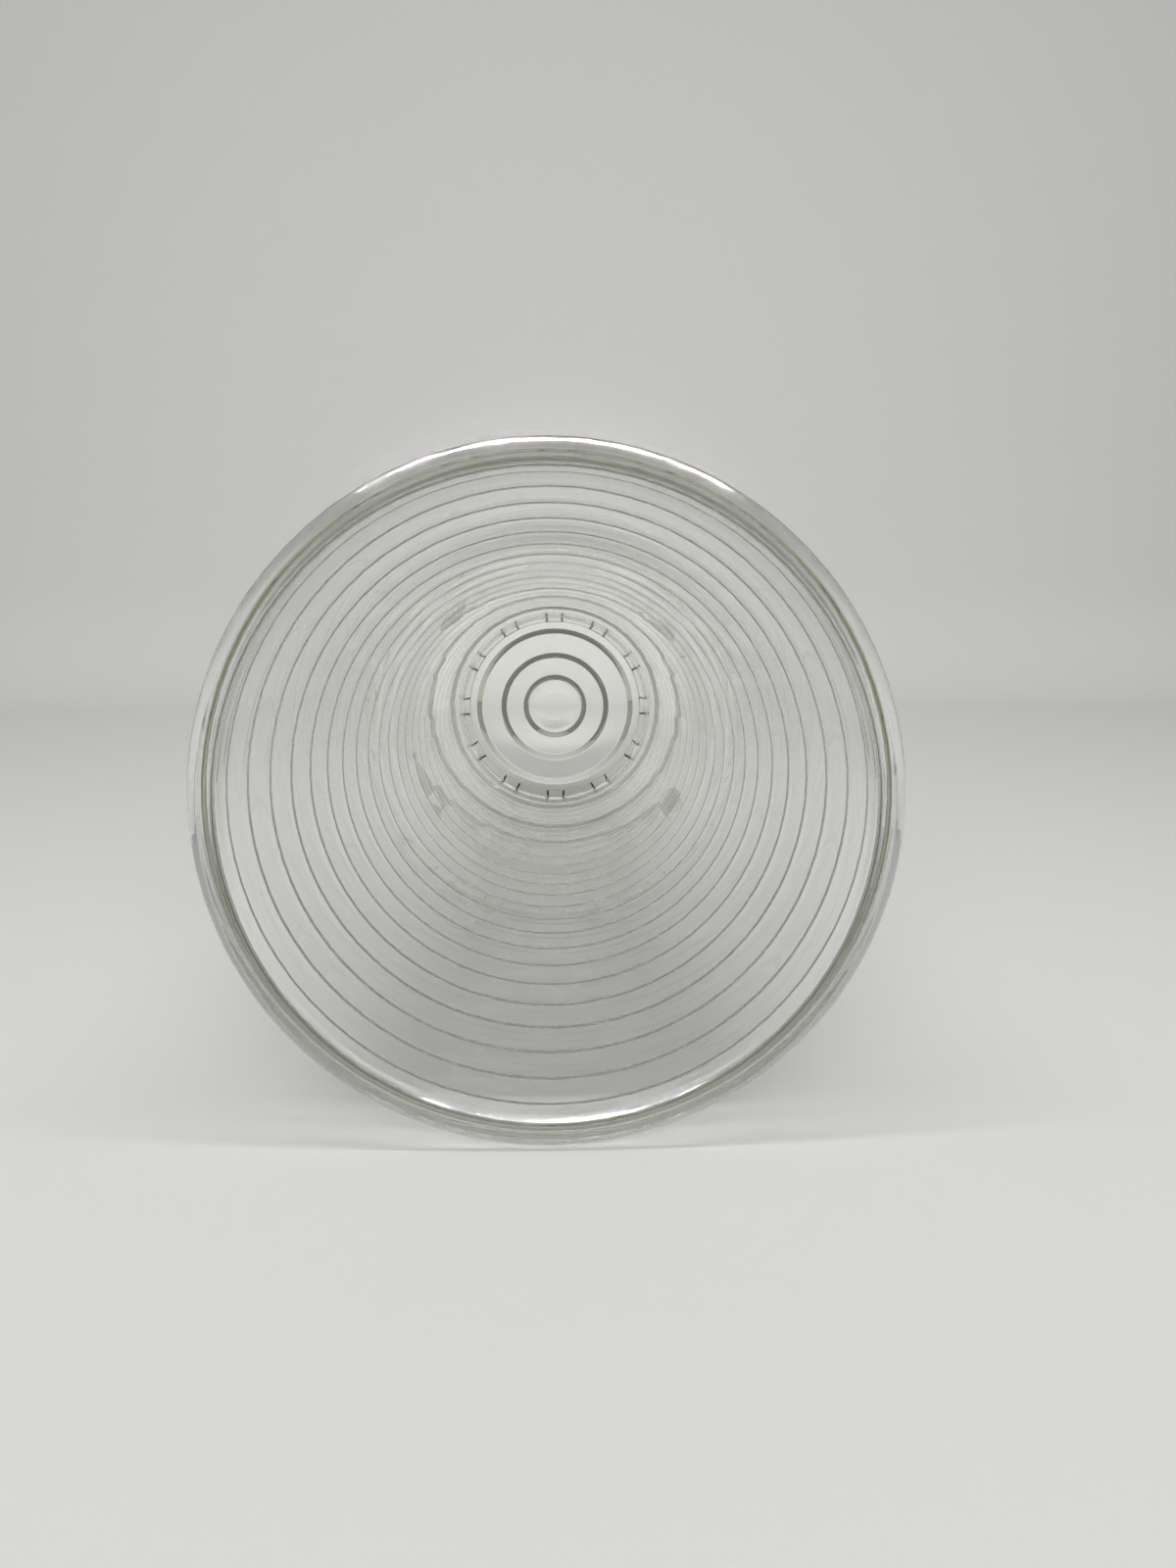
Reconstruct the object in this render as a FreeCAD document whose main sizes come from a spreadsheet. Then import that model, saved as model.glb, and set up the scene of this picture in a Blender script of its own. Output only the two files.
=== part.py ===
import FreeCAD, Part
import os
import Sketcher

# Pressed-glass trumpet vase.  The model stands on its foot: +Z is the axis of
# revolution, z = 0 is the resting plane and the mouth is at the top.  Lengths
# are millimetres.  The glass is one piece: a turned blank, rib grooves round
# the outside, a stepped underside and vents cut through the foot ring.

DIMENSIONS = (
    ("total_height", 203.0, "foot to rim"),
    ("stem_radius", 29.19, "inside radius of the plain stem, carried up to the rim"),
    ("stem_taper", 0.0224, "loss of inside radius for each mm below the rim"),
    ("flare_width", 30.925, "radius that the flare adds at the rim"),
    ("flare_depth", 44.137, "depth below the rim where half of the flare is left"),
    ("flare_power", 1.453, "how suddenly the flare opens"),
    ("shoulder_width", 8.546, "radius that the upright shoulder takes off at the rim"),
    ("shoulder_depth", 25.368, "depth over which the shoulder fades"),
    ("wall_thickness", 3.6, "radial thickness of the wall"),
    ("mouth_wall", 2.7, "radial thickness of the wall under the bead"),
    ("thinning_depth", 55.0, "depth below the rim where the wall has its full thickness"),
    ("bead_reach", 4.74, "rim from its inner edge to the outside of the bead"),
    ("bead_radius", 1.8, "rounding of the bead"),
    ("inner_rounding", 1.0, "rounded inner edge of the rim"),
    ("floor_height", 18.0, "inside floor above the resting plane"),
    ("foot_flare", 1.2, "how far the base spreads at the foot"),
    ("corner_radius", 1.5, "inside corner between floor and wall"),
    ("groove_count", 25, "rib grooves round the outside"),
    ("groove_pitch", 7.4, "height of one rib"),
    ("first_groove_depth", 8.15, "first groove below the rim"),
    ("groove_half_width", 1.0, "half of a rib groove's width"),
    ("groove_depth", 0.4, "depth of a rib groove"),
    ("foot_rounding", 2.0, "rounded outer edge of the foot"),
    ("foot_ring_width", 3.0, "flat of the foot ring, measured radially"),
    ("recess_depth", 1.4, "middle of the underside above the resting plane"),
    ("recess_draft", 0.6, "radial draft of the recess wall"),
    ("inner_ring_radius", 9.2, "first stepped ring under the base"),
    ("middle_ring_radius", 16.2, "second stepped ring under the base"),
    ("outer_ring_radius", 23.9, "third stepped ring under the base"),
    ("ring_band", 1.8, "radial width of a ring's sloping face"),
    ("ring_step", 1.95, "rise of the underside at a ring"),
    ("dimple_radius", 7.4, "edge of the dimple in the middle of the base"),
    ("dimple_flat", 4.4, "flat of the dimple"),
    ("dimple_depth", 0.6, "depth of the dimple"),
    ("vent_count", 12, "vents across the foot ring"),
    ("vent_depth", 1.3, "depth of a vent"),
    ("vent_half_width", 2.9, "half of a vent's width at the resting plane"),
    ("vent_side", 0.6, "width of a vent's sloping side"),
)
SPLINE_SPANS = 14
SPLINE_DEGREE = 3
STEP_FOLDER = "parts"

document = FreeCAD.newDocument("trumpet_vase")
sheet = document.addObject("Spreadsheet::Sheet", "dims")


def fill_sheet():
    """Write one row for each driving dimension: name, value, meaning."""
    for row, (alias, number, meaning) in enumerate(DIMENSIONS, start=1):
        sheet.set(f"A{row}", alias)
        sheet.set(f"B{row}", str(number))
        sheet.set(f"C{row}", meaning)
        sheet.setAlias(f"B{row}", alias)
    document.recompute()


def value(expression):
    """The number that an expression on the sheet has now."""
    return float(sheet.evalExpression(str(expression)))


def inside_radius(height):
    """Expression for the inside radius of the wall at a height."""
    depth = f"(dims.total_height - ({height}))"
    stem = f"dims.stem_radius - dims.stem_taper * {depth}"
    flare = f"dims.flare_width / (1 + ({depth} / dims.flare_depth) ^ dims.flare_power)"
    shoulder = f"dims.shoulder_width * exp(-{depth} / dims.shoulder_depth)"
    return f"({stem} + {flare} - {shoulder})"


def outside_radius(height):
    """Expression for the outside radius of the ribbed wall at a height."""
    share = f"min(1; (dims.total_height - ({height})) / dims.thinning_depth)"
    extra = f"(dims.wall_thickness - dims.mouth_wall) * {share} ^ 2 * (3 - 2 * {share})"
    rise = f"min(1; ({height}) / dims.floor_height)"
    foot = f"dims.foot_flare * (1 - {rise} ^ 2 * (3 - 2 * {rise}))"
    return f"({inside_radius(height)} + dims.mouth_wall + {extra} + {foot})"


def heights_between(low, high, steps):
    """Evenly spaced heights from low to high, as expressions."""
    return [f"({low}) + (({high}) - ({low})) * {step} / {steps}" for step in range(steps + 1)]


def new_sketch(body, name, plane):
    """A sketch on one of the body's own origin planes."""
    sketch = body.newObject("Sketcher::SketchObject", name)
    origin_plane = next(item for item in body.Origin.OriginFeatures if item.Role == plane)
    sketch.AttachmentSupport = [(origin_plane, "")]
    sketch.MapMode = "FlatFace"
    return sketch


def bind(sketch, kind, parts, expression):
    """Add a constraint whose value follows an expression."""
    index = sketch.addConstraint(Sketcher.Constraint(kind, *parts, value(expression)))
    sketch.setExpression(f"Constraints[{index}]", expression)


def bind_point(sketch, geometry, end, point):
    """Hold a point of the sketch at coordinates given as two expressions."""
    across, up = point
    if across == "0":
        sketch.addConstraint(Sketcher.Constraint("PointOnObject", geometry, end, -2))
    else:
        bind(sketch, "DistanceX", (-1, 1, geometry, end), across)
    bind(sketch, "DistanceY", (-1, 1, geometry, end), up)


def vector(point):
    """The sketch position of a point given as two expressions."""
    return FreeCAD.Vector(value(point[0]), value(point[1]), 0)


def end_nearest(sketch, geometry, point):
    """Which end of an edge, 1 or 2, lies at a point."""
    target = vector(point)
    gap = [sketch.getPoint(geometry, end).distanceToPoint(target) for end in (1, 2)]
    return 1 if gap[0] <= gap[1] else 2


def add_spline(sketch, points):
    """A spline whose control points are held at points given as expressions."""
    poles = [vector(point) for point in points]
    curve = Part.BSplineCurve(poles, None, None, False, SPLINE_DEGREE, None, False)
    edge = sketch.addGeometry(curve)
    sketch.exposeInternalGeometry(edge)
    for number, point in enumerate(points[1:-1], start=1):
        bind_point(sketch, edge + 1 + number, 3, point)
    return edge


def draw_outline(sketch, start, steps):
    """Close an outline from a start point.

    A step of one point is a line to it, one of two points is an arc through the
    first to the second, and a longer one is a spline over all of its points.
    """
    edges = []
    here = start
    for step in steps:
        target = step[-1]
        if len(step) == 1:
            edge = sketch.addGeometry(Part.LineSegment(vector(here), vector(target)))
        elif len(step) > 2:
            edge = add_spline(sketch, (here,) + tuple(step))
        else:
            edge = sketch.addGeometry(Part.Arc(vector(here), vector(step[0]), vector(target)))
            middle = sketch.addGeometry(Part.Point(vector(step[0])), True)
            bind_point(sketch, middle, 1, step[0])
            sketch.addConstraint(Sketcher.Constraint("PointOnObject", middle, 1, edge))
        bind_point(sketch, edge, end_nearest(sketch, edge, here), here)
        edges.append((edge, here, target))
        here = target
    for (edge, _, target), (following, _, _) in zip(edges, edges[1:] + edges[:1]):
        ends = (edge, end_nearest(sketch, edge, target))
        starts = (following, end_nearest(sketch, following, target))
        sketch.addConstraint(Sketcher.Constraint("Coincident", *ends, *starts))


def groove_height(number):
    """Height of a rib groove, counted from the rim, as an expression."""
    return f"dims.total_height - dims.first_groove_depth - {number} * dims.groove_pitch"


def rib_steps():
    """Straight-faced ribs up the outside, which meet where the grooves are cut."""
    rising = reversed(range(int(value("dims.groove_count"))))
    heights = [groove_height(number) for number in rising]
    return [((outside_radius(height), height),) for height in heights]


def pad_inner_radius():
    """Inner edge of the foot ring's flat, as an expression."""
    return f"({outside_radius('dims.foot_rounding')} - dims.foot_rounding - dims.foot_ring_width)"


def foot_steps():
    """From the middle of the underside, out under the foot ring and round its edge."""
    wall_foot = "dims.foot_rounding"
    foot_edge = outside_radius(wall_foot)
    turn = "dims.foot_rounding * cos(45)"
    pad_outer = f"{foot_edge} - dims.foot_rounding"
    return [
        ((pad_inner_radius(), "dims.recess_depth"),),
        ((pad_inner_radius(), "0"),),
        ((pad_outer, "0"),),
        ((f"{pad_outer} + {turn}", f"dims.foot_rounding - {turn}"), (foot_edge, wall_foot)),
    ]


def rim_steps():
    """From the wall, out under the bead, over the rim to its inner edge."""
    rim_inner = inside_radius("dims.total_height")
    bead_centre = f"{rim_inner} + dims.bead_reach - dims.bead_radius"
    bead_height = "dims.total_height - dims.bead_radius"
    under_radius = f"{bead_centre} + dims.bead_radius * cos(45)"
    under_height = f"{bead_height} - dims.bead_radius * sin(45)"
    neck_height = f"{under_height} - ({under_radius} - {rim_inner} - dims.mouth_wall)"
    bead_side = f"{bead_centre} + dims.bead_radius * cos(22.5)"
    bead_side_height = f"{bead_height} + dims.bead_radius * sin(22.5)"
    turn = "dims.inner_rounding * (1 - cos(45))"
    return [
        ((outside_radius(neck_height), neck_height),),
        ((under_radius, under_height),),
        ((bead_side, bead_side_height), (bead_centre, "dims.total_height")),
        ((f"{rim_inner} + dims.inner_rounding", "dims.total_height"),),
        ((f"{rim_inner} + {turn}", f"dims.total_height - {turn}"),
         (rim_inner, "dims.total_height - dims.inner_rounding")),
    ]


def inside_steps():
    """Down the inside of the wall, round the corner and across the floor to the axis."""
    corner_top = "dims.floor_height + dims.corner_radius"
    corner_floor = f"{inside_radius(corner_top)} - dims.corner_radius"
    turn = "dims.corner_radius * cos(45)"
    rim_edge = "dims.total_height - dims.inner_rounding"
    falling = heights_between(rim_edge, corner_top, SPLINE_SPANS)[1:]
    return [
        tuple((inside_radius(height), height) for height in falling),
        ((f"{corner_floor} + {turn}", f"{corner_top} - {turn}"), (corner_floor, "dims.floor_height")),
        (("0", "dims.floor_height"),),
    ]


def blank_outline():
    """Half section of the glass before anything is cut into it."""
    start = ("0", "dims.recess_depth")
    steps = foot_steps() + rib_steps() + rim_steps() + inside_steps()
    return start, steps + [(start,)]


def add_turned(body, kind, name, sketch):
    """Turn a sketch right round the axis, to add or to cut."""
    feature = body.newObject(kind, name)
    feature.Profile = sketch
    feature.ReferenceAxis = (sketch, ["V_Axis"])
    feature.Angle = 360
    sketch.Visibility = False
    document.recompute()
    return feature


def draw_circles(sketch, centres, radius):
    """Circles held at centres given as expressions."""
    for centre in centres:
        circle = sketch.addGeometry(Part.Circle(vector(centre), FreeCAD.Vector(0, 0, 1), value(radius)))
        bind_point(sketch, circle, 3, centre)
        bind(sketch, "Radius", (circle,), radius)


def cut_rib_grooves(body):
    """Narrow grooves that leave the wall as a stack of plain ribs."""
    sketch = new_sketch(body, "rib_groove_sections", "XZ_Plane")
    width_squared = "dims.groove_half_width ^ 2"
    radius = f"(({width_squared} + dims.groove_depth ^ 2) / (2 * dims.groove_depth))"
    centres = []
    for number in range(int(value("dims.groove_count"))):
        height = groove_height(number)
        centres.append((f"{outside_radius(height)} + {radius} - dims.groove_depth", height))
    draw_circles(sketch, centres, radius)
    return add_turned(body, "PartDesign::Groove", "rib_grooves", sketch)


def cut_base_steps(body):
    """Three conical steps, each one higher than the last, from the middle outwards."""
    sketch = new_sketch(body, "base_step_section", "XZ_Plane")
    rings = [f"dims.{name}_ring_radius" for name in ("inner", "middle", "outer")]
    start = (f"{rings[0]} - dims.ring_band / 2", "0")
    steps = []
    for number, ring in enumerate(rings):
        low = f"dims.recess_depth + {number} * dims.ring_step"
        high = f"{low} + dims.ring_step"
        steps.append(((f"{ring} - dims.ring_band / 2", low),))
        steps.append(((f"{ring} + dims.ring_band / 2", high),))
    steps.append(((f"{pad_inner_radius()} - dims.recess_draft", high),))
    steps.append(((pad_inner_radius(), "0"),))
    steps.append((start,))
    draw_outline(sketch, start, steps)
    return add_turned(body, "PartDesign::Groove", "base_steps", sketch)


def cut_base_dimple(body):
    """A shallow dimple in the middle of the base."""
    sketch = new_sketch(body, "dimple_section", "XZ_Plane")
    top = "dims.recess_depth + dims.dimple_depth"
    start = ("0", "0")
    draw_outline(sketch, start, [
        (("dims.dimple_radius", "0"),),
        (("dims.dimple_radius", "dims.recess_depth"),),
        (("dims.dimple_flat", top),),
        (("0", top),),
        (start,),
    ])
    return add_turned(body, "PartDesign::Groove", "base_dimple", sketch)


def cut_foot_vents(body):
    """Flat-topped vents with sloping sides across the foot ring, evenly spaced."""
    sketch = new_sketch(body, "vent_section", "YZ_Plane")
    top = "dims.vent_half_width - dims.vent_side"
    start = ("-dims.vent_half_width", "0")
    draw_outline(sketch, start, [
        ((f"-({top})", "dims.vent_depth"),),
        ((top, "dims.vent_depth"),),
        (("dims.vent_half_width", "0"),),
        (start,),
    ])
    vent = body.newObject("PartDesign::Pocket", "foot_vent")
    vent.Profile = sketch
    vent.Type = 0
    vent.Reversed = True
    vent.setExpression("Length", outside_radius("0") + " + dims.foot_rounding")
    sketch.Visibility = False
    document.recompute()

    pattern = body.newObject("PartDesign::PolarPattern", "foot_vents")
    pattern.Originals = [vent]
    axis = next(item for item in body.Origin.OriginFeatures if item.Role == "Z_Axis")
    pattern.Axis = (axis, [""])
    pattern.Angle = 360
    pattern.setExpression("Occurrences", "dims.vent_count")
    body.Tip = pattern
    document.recompute()
    return vent, pattern


def check_cut(before, after, name):
    """A cut that removes nothing shows no error, so the volumes are compared."""
    removed = before.Shape.Volume - after.Shape.Volume
    print(f"{name}: removed {removed:.1f} mm3")
    if removed <= 0:
        raise RuntimeError(f"{name} cut nothing")


def build_vase():
    """The one piece of glass: a turned blank and the cuts into it."""
    body = document.addObject("PartDesign::Body", "vase")
    body.Label = "vase"
    body.Placement = FreeCAD.Placement()
    sketch = new_sketch(body, "blank_section", "XZ_Plane")
    draw_outline(sketch, *blank_outline())
    blank = add_turned(body, "PartDesign::Revolution", "blank", sketch)
    grooves = cut_rib_grooves(body)
    rings = cut_base_steps(body)
    dimple = cut_base_dimple(body)
    vent, vents = cut_foot_vents(body)
    check_cut(blank, grooves, "rib grooves")
    check_cut(grooves, rings, "base steps")
    check_cut(rings, dimple, "base dimple")
    check_cut(dimple, vent, "one vent")
    check_cut(vent, vents, "other vents")
    return body


def check_document():
    """Stop if any object of the document failed."""
    for item in document.Objects:
        if "Invalid" in item.State or "Error" in item.State:
            raise RuntimeError(f"{item.Name} failed: {item.State}")


def write_steps(bodies):
    """Export each body under its node name, after a check of its solid."""
    os.makedirs(STEP_FOLDER, exist_ok=True)
    for body in bodies:
        shape = body.Shape
        if shape.isNull() or not shape.isValid() or len(shape.Solids) != 1:
            raise RuntimeError(f"{body.Label} has no single valid solid")
        box = shape.BoundBox
        print(f"{body.Label}: {shape.Volume / 1000:.1f} cm3, "
              f"{box.XLength:.1f} x {box.YLength:.1f} x {box.ZLength:.1f} mm, base at {box.ZMin:.3f}")
        shape.exportStep(os.path.join(STEP_FOLDER, f"{body.Label}.step"))


fill_sheet()
vase = build_vase()
document.recompute()
check_document()
write_steps([vase])
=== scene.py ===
import math

import bpy
from mathutils import Matrix, Vector


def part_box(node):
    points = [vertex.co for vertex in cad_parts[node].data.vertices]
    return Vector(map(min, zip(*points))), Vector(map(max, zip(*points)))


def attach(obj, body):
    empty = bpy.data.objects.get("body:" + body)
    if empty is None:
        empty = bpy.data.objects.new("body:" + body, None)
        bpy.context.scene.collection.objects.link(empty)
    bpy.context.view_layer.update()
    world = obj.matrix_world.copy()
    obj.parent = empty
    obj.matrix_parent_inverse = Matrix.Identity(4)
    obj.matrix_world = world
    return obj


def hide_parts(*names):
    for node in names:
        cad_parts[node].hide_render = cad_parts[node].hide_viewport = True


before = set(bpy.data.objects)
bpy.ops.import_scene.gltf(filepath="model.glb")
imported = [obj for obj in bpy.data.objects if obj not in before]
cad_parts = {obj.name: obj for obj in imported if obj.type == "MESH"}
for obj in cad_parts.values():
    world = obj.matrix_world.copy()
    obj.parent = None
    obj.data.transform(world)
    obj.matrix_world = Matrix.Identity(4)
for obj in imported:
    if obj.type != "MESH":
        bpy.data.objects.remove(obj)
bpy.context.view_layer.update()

# A clear pressed-glass trumpet vase, upright on its foot at z = 0, as in the
# frame.  The view looks down into the mouth with the image's lower edge towards
# +Y, where the vase would lie on its side: the stage, not the part, is turned.

# ---------------------------------------------------------------- dimensions, metres
FOOT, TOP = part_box("vase")
HEIGHT = TOP.z - FOOT.z
STEM_RADIUS = 0.02919
STEM_TAPER = 0.0224
FLARE_WIDTH = 0.030925
FLARE_DEPTH = 0.044137
FLARE_POWER = 1.453
SHOULDER_WIDTH = 0.008546
SHOULDER_DEPTH = 0.025368
WALL = 0.0036
FOOT_FLARE = 0.0012
MOUTH_WALL = 0.0027
THINNING_DEPTH = 0.055
BEAD_RADIUS = 0.0018
BEAD_REACH = 0.00474
INNER_ROUNDING = 0.0010
FLOOR_HEIGHT = 0.018
CORNER_RADIUS = 0.0015
GROOVE_COUNT = 25
GROOVE_PITCH = 0.0074
FIRST_GROOVE_DEPTH = 0.00815
GROOVE_DEPTH = 0.0004
GROOVE_HALF_WIDTH = 0.0010
GROOVE_LIP = 0.0002
GROOVE_STEPS = 8
FOOT_ROUNDING = 0.002
FOOT_RING_WIDTH = 0.003
RECESS_DEPTH = 0.0014
RECESS_DRAFT = 0.0006
RING_RADII = (0.0092, 0.0162, 0.0239)
RING_BAND = 0.0018
RING_STEP = 0.00195
CORNER_REACH = 0.0002
DIMPLE_RADIUS = 0.0074
DIMPLE_FLAT = 0.0044
DIMPLE_DEPTH = 0.0006
VENT_COUNT = 12
VENT_DEPTH = 0.0013
VENT_HALF_WIDTH = 0.0029
VENT_SIDE = 0.0006
BEAD_SLOPE = 45
BEAD_CLEARANCE = 0.0003

# ---------------------------------------------------------------- how finely it is drawn
FOOT_STEPS = 10
LOW_SPANS = 4
TOP_SPANS = 5
NECK_SPANS = 4
BEAD_STEPS = 20
EDGE_STEPS = 8
WALL_SPANS = 90
FLOOR_SPANS = 8
SOFT_STEPS = 4

# ---------------------------------------------------------------- glass
GLASS_IOR = 1.52
GLASS_TINT = (0.90, 0.91, 0.85, 1.0)
ABSORPTION = 40.0
# Painted streaks in the vase's shadow: share of lamp light that shadow rays let through a wall,
# between the grooves and at them.
SHADOW_BRIGHT = 0.66
SHADOW_DARK = 0.46

# ---------------------------------------------------------------- profile


def smooth_step(share):
    share = min(max(share, 0.0), 1.0)
    return share * share * (3 - 2 * share)


def inside_radius(z):
    """Inside radius of the wall at a height."""
    depth = max(HEIGHT - z, 0.0)
    flare = FLARE_WIDTH / (1 + (depth / FLARE_DEPTH) ** FLARE_POWER)
    shoulder = SHOULDER_WIDTH * math.exp(-depth / SHOULDER_DEPTH)
    return STEM_RADIUS - STEM_TAPER * depth + flare - shoulder


def outside_radius(z):
    """Outside radius of the wall at a height, without its grooves."""
    share = smooth_step((HEIGHT - z) / THINNING_DEPTH)
    foot = FOOT_FLARE * (1 - smooth_step(z / FLOOR_HEIGHT))
    return inside_radius(z) + MOUTH_WALL + (WALL - MOUTH_WALL) * share + foot


def groove_height(number):
    return HEIGHT - FIRST_GROOVE_DEPTH - number * GROOVE_PITCH


def arc(centre, radius, start, end, steps):
    """Points on an arc in the half plane (r, z), angles in degrees from +r."""
    turns = [math.radians(start + (end - start) * i / steps) for i in range(steps + 1)]
    return [(centre[0] + radius * math.cos(a), centre[1] + radius * math.sin(a)) for a in turns]


def line(start, end, steps):
    """Points between two ends of a straight run, without the ends."""
    across, up = end[0] - start[0], end[1] - start[1]
    return [(start[0] + across * i / steps, start[1] + up * i / steps) for i in range(1, steps)]


def groove_section():
    """Points (along the wall, into the wall) across a groove of circular section."""
    depth = GROOVE_DEPTH
    radius = (GROOVE_HALF_WIDTH ** 2 + depth ** 2) / (2 * depth)
    half_angle = math.asin(GROOVE_HALF_WIDTH / radius)
    turns = [half_angle * (2 * i / GROOVE_STEPS - 1) for i in range(GROOVE_STEPS + 1)]
    bottom = math.cos(half_angle)
    section = [(radius * math.sin(a), radius * (math.cos(a) - bottom)) for a in turns]
    lip = GROOVE_HALF_WIDTH + GROOVE_LIP
    return [(-lip, 0.0)] + section + [(lip, 0.0)]


def ribbed_wall():
    """Outside wall from the lowest groove to the highest, bottom to top."""
    points = []
    for number in reversed(range(GROOVE_COUNT)):
        middle = groove_height(number)
        spread = outside_radius(middle + GROOVE_LIP) - outside_radius(middle - GROOVE_LIP)
        lean = math.atan2(spread, 2 * GROOVE_LIP)
        for along, deep in groove_section():
            z = middle + along * math.cos(lean) + deep * math.sin(lean)
            wall = outside_radius(middle + along * math.cos(lean))
            points.append((wall - deep * math.cos(lean), z))
        if number > 0:
            half = middle + GROOVE_PITCH / 2
            points.append((outside_radius(half), half))
    return points


def softened(corners, reach):
    """A run of straight lines with its inner corners rounded off."""
    points = [corners[0]]
    for before, corner, after in zip(corners, corners[1:], corners[2:]):
        ends = []
        for other in (before, after):
            share = reach / math.dist(corner, other)
            ends.append([c + (o - c) * share for c, o in zip(corner, other)])
        for i in range(SOFT_STEPS + 1):
            t = i / SOFT_STEPS
            points.append(tuple((1 - t) ** 2 * p + 2 * t * (1 - t) * c + t * t * q
                                for p, c, q in zip(ends[0], corner, ends[1])))
    return points + [corners[-1]]


def underside(edge):
    """Points on the stepped underside from the axis out to the foot ring."""
    level = RECESS_DEPTH
    dimple = level + DIMPLE_DEPTH
    corners = [(0.0, dimple), (DIMPLE_FLAT, dimple), (DIMPLE_RADIUS, level)]
    for ring in RING_RADII:
        corners.append((ring - RING_BAND / 2, level))
        level += RING_STEP
        corners.append((ring + RING_BAND / 2, level))
    pad = edge + RECESS_DRAFT
    corners += [(edge, level), (pad, 0.0), (pad + FOOT_RING_WIDTH / 2, 0.0)]
    return softened(corners, CORNER_REACH)


def neck_top():
    """Height where the wall meets the sloping underside of the bead."""
    mouth = inside_radius(HEIGHT)
    start = mouth + BEAD_REACH - BEAD_RADIUS * (1 - math.cos(math.radians(BEAD_SLOPE)))
    low = HEIGHT - BEAD_RADIUS * (1 + math.sin(math.radians(BEAD_SLOPE)))
    return low - (start - mouth - MOUTH_WALL)


def rim():
    """Round the mouth: the bead's underside, the bead and the inner edge."""
    mouth = inside_radius(HEIGHT)
    neck = (outside_radius(neck_top()), neck_top())
    bead = (mouth + BEAD_REACH - BEAD_RADIUS, HEIGHT - BEAD_RADIUS)
    inner = (mouth + INNER_ROUNDING, HEIGHT - INNER_ROUNDING)
    round_bead = arc(bead, BEAD_RADIUS, -BEAD_SLOPE, 90, BEAD_STEPS)
    points = [neck] + line(neck, round_bead[0], NECK_SPANS) + round_bead
    points += line(round_bead[-1], (inner[0], HEIGHT), NECK_SPANS)
    return points + arc(inner, INNER_ROUNDING, 90, 180, EDGE_STEPS)


def run(radius_at, low, high, spans):
    """Points on a wall between two heights, without the ends."""
    return [(radius_at(z), z) for _, z in line((0, low), (0, high), spans)]


def profile():
    """Closed half section, from the axis under the base round to the axis on the floor."""
    pad_outer = outside_radius(FOOT_ROUNDING) - FOOT_ROUNDING
    points = underside(pad_outer - FOOT_RING_WIDTH - RECESS_DRAFT)
    points += arc((pad_outer, FOOT_ROUNDING), FOOT_ROUNDING, -90, 0, FOOT_STEPS)
    low_end = groove_height(GROOVE_COUNT - 1) - GROOVE_HALF_WIDTH
    points += run(outside_radius, FOOT_ROUNDING, low_end, LOW_SPANS)
    points += ribbed_wall()
    band_low = groove_height(0) + GROOVE_HALF_WIDTH
    band_high = neck_top() - BEAD_CLEARANCE
    points += run(outside_radius, band_low, band_high, TOP_SPANS)
    points += [(outside_radius(band_high), band_high)]
    points += rim()
    corner_top = FLOOR_HEIGHT + CORNER_RADIUS
    points += run(inside_radius, HEIGHT - INNER_ROUNDING, corner_top, WALL_SPANS)
    floor_edge = inside_radius(corner_top) - CORNER_RADIUS
    points += arc((floor_edge, corner_top), CORNER_RADIUS, 0, -90, EDGE_STEPS)
    points += [(floor_edge * (1 - i / FLOOR_SPANS), FLOOR_HEIGHT)
               for i in range(1, FLOOR_SPANS + 1)]
    return points


# ---------------------------------------------------------------- the glass mesh
# Degrees from the middle of a vent, with close pairs where its sloping sides begin and end.
SECTOR_ANGLES = (-15.0, -10.0, -6.2, -5.7, -4.6, -4.2, 0.0, 4.2, 4.6, 5.7, 6.2, 10.0)


def turn_angles():
    """Angles round the axis, closer together at the sides of the foot's vents."""
    step = 360 / VENT_COUNT
    return [math.radians(step * sector + angle)
            for sector in range(VENT_COUNT) for angle in SECTOR_ANGLES]


def vent_height(x, y):
    """Height of the vents' tops at a point of the foot, 0 on the pads between them."""
    sector = math.radians(360 / VENT_COUNT)
    angle = math.atan2(y, x)
    off = abs(angle - round(angle / sector) * sector) * math.hypot(x, y)
    return VENT_DEPTH * min(max((VENT_HALF_WIDTH - off) / VENT_SIDE, 0.0), 1.0)


def turned_mesh(name, section, turns):
    """Turn a section whose two ends lie on the axis into a closed mesh."""
    inner = section[1:-1]
    count = len(turns)
    vent_start = RING_RADII[-1] + RING_BAND
    verts = []
    for r, z in inner:
        vented = r > vent_start and z < VENT_DEPTH
        for a in turns:
            x, y = r * math.cos(a), r * math.sin(a)
            verts.append((x, y, max(z, vent_height(x, y)) if vented else z))
    bottom, top = len(verts), len(verts) + 1
    verts += [(0.0, 0.0, section[0][1]), (0.0, 0.0, section[-1][1])]
    faces = []
    for row in range(len(inner) - 1):
        for i in range(count):
            j = (i + 1) % count
            a, b = row * count, (row + 1) * count
            faces.append((a + i, a + j, b + j, b + i))
    last = (len(inner) - 1) * count
    for i in range(count):
        j = (i + 1) % count
        faces.append((bottom, j, i))
        faces.append((top, last + i, last + j))
    mesh = bpy.data.meshes.new(name)
    mesh.from_pydata(verts, [], faces)
    mesh.validate()
    mesh.shade_smooth()
    return mesh


# ---------------------------------------------------------------- materials
def new_material(name):
    material = bpy.data.materials.new(name)
    material.use_nodes = True
    material.node_tree.nodes.clear()
    return material, material.node_tree.nodes, material.node_tree.links


def mixed(nodes, links, factor, first, second):
    """Two shaders, the second where the factor is 1."""
    mix = nodes.new("ShaderNodeMixShader")
    links.new(factor, mix.inputs["Fac"])
    links.new(first.outputs["BSDF"], mix.inputs[1])
    links.new(second.outputs["BSDF"], mix.inputs[2])
    return mix.outputs["Shader"]


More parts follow.
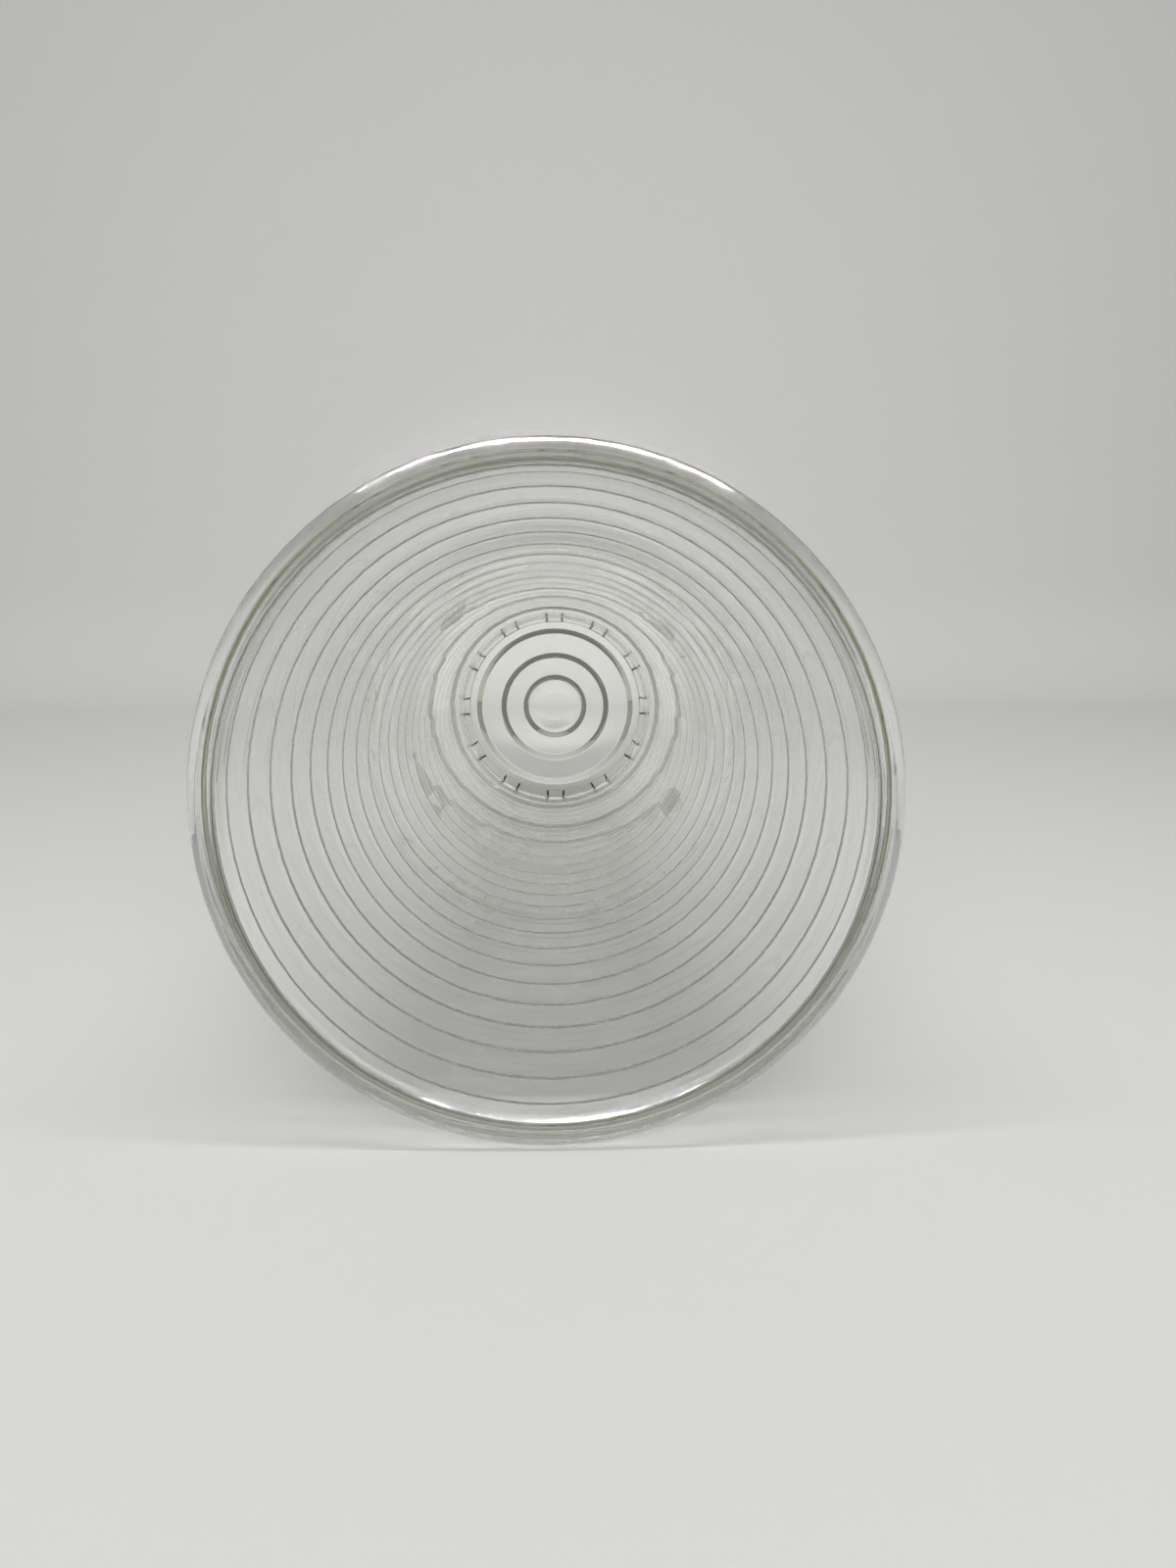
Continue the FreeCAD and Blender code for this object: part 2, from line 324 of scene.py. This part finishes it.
def painted_streak_wave(nodes, links):
    """A wave up the wall, 1 at each groove and -1 half way between two, which paints light and dark
    streaks into the vase's shadow.
    """
    place = nodes.new("ShaderNodeTexCoord")
    split = nodes.new("ShaderNodeSeparateXYZ")
    links.new(place.outputs["Object"], split.inputs["Vector"])
    turns = nodes.new("ShaderNodeMath")
    turns.operation = "MULTIPLY_ADD"
    links.new(split.outputs["Z"], turns.inputs[0])
    turns.inputs[1].default_value = 2 * math.pi / GROOVE_PITCH
    turns.inputs[2].default_value = -2 * math.pi * groove_height(0) / GROOVE_PITCH
    wave = nodes.new("ShaderNodeMath")
    wave.operation = "COSINE"
    links.new(turns.outputs["Value"], wave.inputs[0])
    return wave.outputs["Value"]


def clear_glass():
    """Soda-lime glass, with a faint grey-green that shows where the path is long.

    Rays towards lamps pass straight through it, weaker at the grooves, so that the vase's shadow is
    as pale as a clear glass's. The light and dark streaks in that shadow are painted by a wave up
    the wall, not cast by the grooves' refraction."""
    material, nodes, links = new_material("clear_glass")
    output = nodes.new("ShaderNodeOutputMaterial")
    shader = nodes.new("ShaderNodeBsdfPrincipled")
    shader.inputs["Base Color"].default_value = (1.0, 1.0, 1.0, 1.0)
    shader.inputs["Roughness"].default_value = 0.0
    shader.inputs["IOR"].default_value = GLASS_IOR
    shader.inputs["Transmission Weight"].default_value = 1.0
    path = nodes.new("ShaderNodeLightPath")
    clear = nodes.new("ShaderNodeBsdfTransparent")
    glass = mixed(nodes, links, path.outputs["Is Shadow Ray"], shader, clear)
    links.new(glass, output.inputs["Surface"])
    # Painted shadow streaks: the share that shadow rays let through follows the wave, darkest at
    # each groove.
    passed = nodes.new("ShaderNodeMapRange")
    links.new(painted_streak_wave(nodes, links), passed.inputs["Value"])
    passed.inputs["From Min"].default_value = -1.0
    passed.inputs["To Min"].default_value = SHADOW_BRIGHT
    passed.inputs["To Max"].default_value = SHADOW_DARK
    links.new(passed.outputs["Result"], clear.inputs["Color"])
    absorb = nodes.new("ShaderNodeVolumeAbsorption")
    absorb.inputs["Color"].default_value = GLASS_TINT
    absorb.inputs["Density"].default_value = ABSORPTION
    links.new(absorb.outputs["Volume"], output.inputs["Volume"])
    return material


def one_sided(name, colour):
    """Matt pale stage surface that is only there from its front."""
    material, nodes, links = new_material(name)
    output = nodes.new("ShaderNodeOutputMaterial")
    front = nodes.new("ShaderNodeBsdfDiffuse")
    front.inputs["Color"].default_value = colour
    back = nodes.new("ShaderNodeBsdfTransparent")
    side = nodes.new("ShaderNodeNewGeometry")
    sheet = mixed(nodes, links, side.outputs["Backfacing"], front, back)
    links.new(sheet, output.inputs["Surface"])
    return material


# ---------------------------------------------------------------- the piece
outline = profile()
vase = bpy.data.objects.new("glass_vase", turned_mesh("glass_vase", outline, turn_angles()))
bpy.context.scene.collection.objects.link(vase)
vase.data.materials.append(clear_glass())
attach(vase, "root")
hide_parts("vase")

# ---------------------------------------------------------------- camera
LENS = 27.0
SENSOR = 36.0
CLIP_NEAR, CLIP_FAR = 0.005, 20.0
CAMERA_PLACE = Vector((-0.00214, -0.03034, 0.38344))
VIEW_FORWARD = Vector((-0.0222, 0.1479, -1.0)).normalized()
# The vase would lie on its foot's edge and its bead: LEAN is its slope then.
FOOT_EDGE = outside_radius(FOOT_ROUNDING)
LEAN = max(math.atan2(r - FOOT_EDGE, z - FOOT_ROUNDING) for r, z in outline if z > HEIGHT / 2)
STAGE_UP = Vector((0.0, -math.cos(LEAN), math.sin(LEAN)))
STAGE_AWAY = Vector((0.0, -math.sin(LEAN), -math.cos(LEAN)))
STAGE_RIGHT = STAGE_AWAY.cross(STAGE_UP)


def add_camera():
    data = bpy.data.cameras.new("camera")
    data.lens = LENS
    data.sensor_width = SENSOR
    data.sensor_fit = "AUTO"
    data.clip_start, data.clip_end = CLIP_NEAR, CLIP_FAR
    camera = bpy.data.objects.new("camera", data)
    bpy.context.scene.collection.objects.link(camera)
    right = VIEW_FORWARD.cross(STAGE_UP).normalized()
    up = right.cross(VIEW_FORWARD)
    turn = Matrix((right, up, -VIEW_FORWARD)).transposed()
    camera.matrix_world = Matrix.Translation(CAMERA_PLACE) @ turn.to_4x4()
    bpy.context.scene.camera = camera


# ---------------------------------------------------------------- stage
PAPER_GAP = 0.0002
PAPER_COLOUR = (0.80, 0.80, 0.785, 1.0)
PAPER_HALF_WIDTH = 0.35
PAPER_FRONT = 0.45
PAPER_CURVE = 0.05
PAPER_CURVE_STEPS = 16
PAPER_TOP = 1.6
BACK = 0.21
LAMP_ROW = 0.50
LAMP_ROWS = (-0.205, -0.195)
LAMP_HEIGHT = 0.42
LAMP_COUNT = 26
LAMP_SIZE = 0.003
LAMP_POWER = 290.0
SPARK_COUNT = 71
SPARK_SIZE = 0.004
SPARK_POWER = 6000.0
BAR_SIZE = (0.5, 0.015)
BAR_PLACE = (0.0, -0.20, 0.5)
BAR_TARGET = (0.0, -0.20, 0.0)
BAR_ENERGY = 0.35
FILL_SIZE = (0.9, 0.5)
FILL_PLACE = (0.0, -1.0, 0.6)
FILL_TARGET = (0.0, BACK, 0.25)
FILL_ENERGY = 4.2
GLOW_PLACE = (0.0, 0.05, 0.03)
GLOW_SPREAD = 80
GLOW_SOFTNESS = 0.01
GLOW_ENERGY = 0.24
# The tent's brightness, and where each part of it starts and ends as a cosine.
TENT_WALL = 0.45
TENT_CEILING = 0.36
CEILING_LOW, CEILING_HIGH = 0.3, 0.9
OPENING_LEVEL = 0.45
OPENING_NEAR, OPENING_FAR = 0.60, 0.75
UNDER_LEVEL = 0.7
UNDER_NEAR, UNDER_FAR = 0.0, 0.2
LEFT_LEVEL = 0.85
RIGHT_LEVEL = 0.75
SIDE_NEAR, SIDE_FAR = 0.35, 0.7
BACKGROUND_LEVEL = 0.52
GLASS_BOUNCES = 24
MIRROR_BOUNCES = 12
CONTACT = Vector((0.0, FOOT_EDGE, FOOT_ROUNDING)) - STAGE_UP * PAPER_GAP


def stage_point(right, away, up):
    """A point of the stage, measured from where the foot touches the paper."""
    return CONTACT + STAGE_RIGHT * right + STAGE_AWAY * away + STAGE_UP * up


def add_sweep():
    """The paper that the vase lies on, which curves up into a back wall."""
    start = BACK - PAPER_CURVE
    path = [(-PAPER_FRONT, 0.0), (start, 0.0)]
    for step in range(1, PAPER_CURVE_STEPS + 1):
        a = math.radians(90) * step / PAPER_CURVE_STEPS
        path.append((start + PAPER_CURVE * math.sin(a), PAPER_CURVE - PAPER_CURVE * math.cos(a)))
    path.append((BACK, PAPER_TOP))
    verts = [stage_point(side * PAPER_HALF_WIDTH, away, up)
             for away, up in path for side in (-1, 1)]
    faces = [(2 * i, 2 * i + 1, 2 * i + 3, 2 * i + 2) for i in range(len(path) - 1)]
    mesh = bpy.data.meshes.new("paper_sweep")
    mesh.from_pydata(verts, [], faces)
    mesh.shade_smooth()
    mesh.materials.append(one_sided("paper", PAPER_COLOUR))
    sweep = bpy.data.objects.new("paper_sweep", mesh)
    bpy.context.scene.collection.objects.link(sweep)


def lamp_material():
    """Light of the bar's lamps, which falls on the paper and the glass."""
    material, nodes, links = new_material("lamps")
    output = nodes.new("ShaderNodeOutputMaterial")
    lamp = nodes.new("ShaderNodeEmission")
    lamp.inputs["Strength"].default_value = LAMP_POWER
    links.new(lamp.outputs["Emission"], output.inputs["Surface"])
    return material


def spark_material():
    """The lamps' bright faces, which show only as mirrored or bent by the glass."""
    material, nodes, links = new_material("lamp_faces")
    output = nodes.new("ShaderNodeOutputMaterial")
    path = nodes.new("ShaderNodeLightPath")
    direct = nodes.new("ShaderNodeMapRange")
    links.new(path.outputs["Diffuse Depth"], direct.inputs["Value"])
    direct.inputs["To Min"].default_value = SPARK_POWER
    direct.inputs["To Max"].default_value = 0.0
    lamp = nodes.new("ShaderNodeEmission")
    links.new(direct.outputs["Result"], lamp.inputs["Strength"])
    links.new(lamp.outputs["Emission"], output.inputs["Surface"])
    material.cycles.emission_sampling = "NONE"
    return material


def add_lamps(name, count, size, up, material):
    """Rows of small square lamps across the top of the tent, over the mouth."""
    step = LAMP_ROW / (count - 1)
    verts, faces = [], []
    for away in LAMP_ROWS:
        for number in range(count):
            stagger = 0.5 if away == LAMP_ROWS[-1] else 0.0
            right = -LAMP_ROW / 2 + step * (number + stagger)
            first = len(verts)
            for dr, da in ((-1, -1), (1, -1), (1, 1), (-1, 1)):
                verts.append(stage_point(right + dr * size / 2, away + da * size / 2, up))
            faces.append((first, first + 1, first + 2, first + 3))
    mesh = bpy.data.meshes.new(name)
    mesh.from_pydata(verts, [], faces)
    mesh.materials.append(material)
    lamps = bpy.data.objects.new(name, mesh)
    bpy.context.scene.collection.objects.link(lamps)
    lamps.visible_camera = False
    return lamps


def add_soft_light(name, size, energy, place, target):
    """A rectangular light between two stage places, which the glass does not mirror."""
    data = bpy.data.lights.new(name, "AREA")
    data.shape = "RECTANGLE"
    data.size, data.size_y = size
    data.energy = energy
    light = bpy.data.objects.new(name, data)
    bpy.context.scene.collection.objects.link(light)
    place, target = stage_point(*place), stage_point(*target)
    back = (place - target).normalized()
    across = (STAGE_RIGHT - back * STAGE_RIGHT.dot(back)).normalized()
    turn = Matrix((across, back.cross(across), back)).transposed()
    light.matrix_world = Matrix.Translation(place) @ turn.to_4x4()
    light.visible_camera = False
    light.visible_glossy = False
    light.visible_transmission = False


def add_glow():
    """Light that the thick base gathers on the paper right behind it."""
    data = bpy.data.lights.new("base_glow", "SPOT")
    data.energy = GLOW_ENERGY
    data.spot_size, data.spot_blend = math.radians(GLOW_SPREAD), 1.0
    data.shadow_soft_size = GLOW_SOFTNESS
    glow = bpy.data.objects.new("base_glow", data)
    bpy.context.scene.collection.objects.link(glow)
    turn = Matrix((STAGE_RIGHT, STAGE_RIGHT.cross(STAGE_AWAY) * -1, -STAGE_AWAY)).transposed()
    glow.matrix_world = Matrix.Translation(stage_point(*GLOW_PLACE)) @ turn.to_4x4()


def add_world():
    """The light tent: bright cloth all round, with a darker opening in front.

    The camera sees an even background in its place, where the paper ends."""
    world = bpy.data.worlds.new("light_tent")
    world.use_nodes = True
    nodes, links = world.node_tree.nodes, world.node_tree.links
    nodes.clear()
    output = nodes.new("ShaderNodeOutputWorld")
    background = nodes.new("ShaderNodeBackground")
    links.new(background.outputs["Background"], output.inputs["Surface"])
    coord = nodes.new("ShaderNodeTexCoord")

    def along(axis):
        node = nodes.new("ShaderNodeVectorMath")
        node.operation = "DOT_PRODUCT"
        links.new(coord.outputs["Generated"], node.inputs[0])
        node.inputs[1].default_value = axis
        return node.outputs["Value"]

    def ramp(value, low, high, first, last):
        node = nodes.new("ShaderNodeMapRange")
        node.interpolation_type = "SMOOTHSTEP"
        links.new(value, node.inputs["Value"])
        node.inputs["From Min"].default_value = low
        node.inputs["From Max"].default_value = high
        node.inputs["To Min"].default_value = first
        node.inputs["To Max"].default_value = last
        return node.outputs["Result"]

    def multiply(a, b):
        node = nodes.new("ShaderNodeMath")
        node.operation = "MULTIPLY"
        links.new(a, node.inputs[0])
        links.new(b, node.inputs[1])
        return node.outputs["Value"]

    def seen_by_camera(plain, tent):
        path = nodes.new("ShaderNodeLightPath")
        node = nodes.new("ShaderNodeMix")
        links.new(path.outputs["Is Camera Ray"], node.inputs["Factor"])
        links.new(tent, node.inputs["A"])
        node.inputs["B"].default_value = plain
        return node.outputs["Result"]

    tent = ramp(along(STAGE_UP), CEILING_LOW, CEILING_HIGH, TENT_WALL, TENT_CEILING)
    for axis, near, far, level in (
            (-STAGE_AWAY, OPENING_NEAR, OPENING_FAR, OPENING_LEVEL),
            (-STAGE_UP, UNDER_NEAR, UNDER_FAR, UNDER_LEVEL),
            (STAGE_RIGHT, SIDE_NEAR, SIDE_FAR, RIGHT_LEVEL),
            (-STAGE_RIGHT, SIDE_NEAR, SIDE_FAR, LEFT_LEVEL)):
        tent = multiply(tent, ramp(along(axis), near, far, 1.0, level))
    links.new(seen_by_camera(BACKGROUND_LEVEL, tent), background.inputs["Strength"])
    background.inputs["Color"].default_value = (1.0, 1.0, 1.0, 1.0)
    bpy.context.scene.world = world


add_camera()
add_sweep()
add_lamps("light_bar", LAMP_COUNT, LAMP_SIZE, LAMP_HEIGHT, lamp_material())
sparks = add_lamps("lamp_faces", SPARK_COUNT, SPARK_SIZE, LAMP_HEIGHT - LAMP_SIZE, spark_material())
sparks.visible_diffuse = False
sparks.visible_shadow = False
add_soft_light("bar_glow", BAR_SIZE, BAR_ENERGY, BAR_PLACE, BAR_TARGET)
add_soft_light("front_fill", FILL_SIZE, FILL_ENERGY, FILL_PLACE, FILL_TARGET)
add_glow()
add_world()
scene = bpy.context.scene
scene.view_settings.view_transform = "Standard"
scene.cycles.max_bounces = GLASS_BOUNCES
scene.cycles.transmission_bounces = GLASS_BOUNCES
scene.cycles.transparent_max_bounces = GLASS_BOUNCES
scene.cycles.glossy_bounces = MIRROR_BOUNCES
